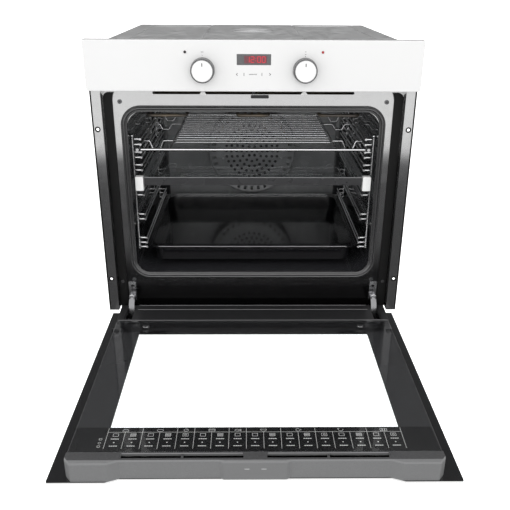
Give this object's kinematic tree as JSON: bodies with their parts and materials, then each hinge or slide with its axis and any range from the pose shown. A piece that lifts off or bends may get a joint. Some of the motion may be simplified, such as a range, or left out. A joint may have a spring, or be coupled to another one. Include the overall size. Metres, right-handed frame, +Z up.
{
  "type": "built-in wall oven",
  "caption": "Built-in electric oven with drop-down door, two turning knobs, sliding shelf and trays, racks, convection fan, heaters and cooling blower inside a steel case.",
  "frame": {"origin": "on the centre line, in the plane of the front flange, at the level of the base's underside", "axes": "+X right as seen from the front, +Y from the front flange into the housing, +Z up; the door is stored open"},
  "size_m": [0.595, 1.034, 0.605],
  "materials": {
    "panel_white": "smooth gloss white enamel paint",
    "white_glass": "back-painted white toughened glass, polished",
    "window_glass": "clear toughened glass, faintly tinted, polished",
    "clear_glass": "clear toughened glass, polished",
    "display_glass": "black smoked glass, polished",
    "black_plastic": "black moulded, satin",
    "grey_plastic": "mid grey moulded, fine texture",
    "white_plastic": "white moulded, satin",
    "red_lens": "translucent red lens",
    "galvanised": "galvanised sheet, dull",
    "polished_steel": "brushed and polished stainless",
    "knob_metal": "turned aluminium, satin",
    "chrome_wire": "bright chrome-plated wire",
    "spring_steel": "bright plated steel",
    "black_enamel": "gloss black vitreous enamel with fine speckle",
    "grey_enamel": "gloss grey vitreous enamel with fine speckle",
    "front_grey": "grey enamelled steel, semi-gloss",
    "seal_rubber": "woven sleeve and silicone, matte black",
    "heater_steel": "heat-tinted heater sheath",
    "mineral_wool": "compressed glass wool"
  },
  "bodies": {
    "oven": {"control_panel": "panel_white", "display_window": "display_glass", "electronics_housing": "black_plastic", "indicator_lamps": "red_lens", "function_switch": "black_plastic", "thermostat_switch": "black_plastic", "front_frame": "front_grey", "channel_strips": "spring_steel", "frame_screws": "spring_steel", "vent_grille": "black_plastic", "door_switch": "black_plastic", "hinge_arms": "spring_steel", "cavity_liner": "grey_enamel", "cavity_back": "grey_enamel", "door_seal": "seal_rubber", "fan_cover": "grey_enamel", "fan_motor": "galvanised", "ring_heater": "heater_steel", "grill_element": "heater_steel", "bottom_element": "heater_steel", "lamp_holder": "galvanised", "lamp_glass": "clear_glass", "temperature_probe": "polished_steel", "side_rack_left": "chrome_wire", "side_rack_right": "chrome_wire", "runner_rails": "spring_steel", "insulation": "mineral_wool", "side_panel_left": "galvanised", "side_panel_right": "galvanised", "base_plate": "galvanised", "top_cover": "galvanised", "rear_cover": "galvanised", "cable_gland": "black_plastic", "terminal_box": "black_plastic", "air_duct": "galvanised", "blower_housing": "galvanised", "blower_motor": "galvanised"},
    "door": {"door_outer_panel": "white_glass", "door_window": "window_glass", "door_foot": "black_plastic", "door_profiles": "front_grey", "hinge_bodies": "spring_steel", "hinge_pins": "spring_steel", "door_inner_glass": "clear_glass", "door_middle_glass": "clear_glass", "door_top_trim": "grey_plastic", "glass_clips": "polished_steel", "door_handle": "polished_steel", "handle_posts": "grey_plastic"},
    "function_knob": {"knob_left": "knob_metal", "knob_face_left": "panel_white"},
    "temperature_knob": {"knob_right": "knob_metal", "knob_face_right": "panel_white"},
    "shelf": {"wire_shelf": "chrome_wire"},
    "runner_tray": {"glass_tray": "clear_glass", "runner_slides": "polished_steel", "runner_caps": "white_plastic"},
    "pan": {"deep_tray": "black_enamel"},
    "fan": {"fan_impeller": "galvanised"},
    "blower": {"blower_impeller": "galvanised"}
  },
  "joints": [
    {"name": "door_hinge", "type": "hinge", "parent": "oven", "child": "door", "pos_m": [0, -0.012, 0.042], "axis": [-1, 0, 0], "range_deg": [0, 90]},
    {"name": "function_knob_turn", "type": "hinge", "parent": "oven", "child": "function_knob", "pos_m": [-0.09, -0.03, 0.5445], "axis": [0, 1, 0], "continuous": true},
    {"name": "temperature_knob_turn", "type": "hinge", "parent": "oven", "child": "temperature_knob", "pos_m": [0.09, -0.03, 0.5445], "axis": [0, 1, 0], "range_deg": [0, 270]},
    {"name": "shelf_slide", "type": "slide", "parent": "oven", "child": "shelf", "axis": [0, 1, 0], "range_m": [-0.3, 0]},
    {"name": "runner_slide", "type": "slide", "parent": "oven", "child": "runner_tray", "axis": [0, 1, 0], "range_m": [-0.3, 0]},
    {"name": "pan_slide", "type": "slide", "parent": "oven", "child": "pan", "axis": [0, 1, 0], "range_m": [-0.3, 0]},
    {"name": "fan_spin", "type": "hinge", "parent": "oven", "child": "fan", "pos_m": [0, 0.438, 0.292], "axis": [0, 1, 0], "continuous": true},
    {"name": "blower_spin", "type": "hinge", "parent": "oven", "child": "blower", "pos_m": [0, 0.345, 0.511], "axis": [0, 0, 1], "continuous": true}
  ]
}
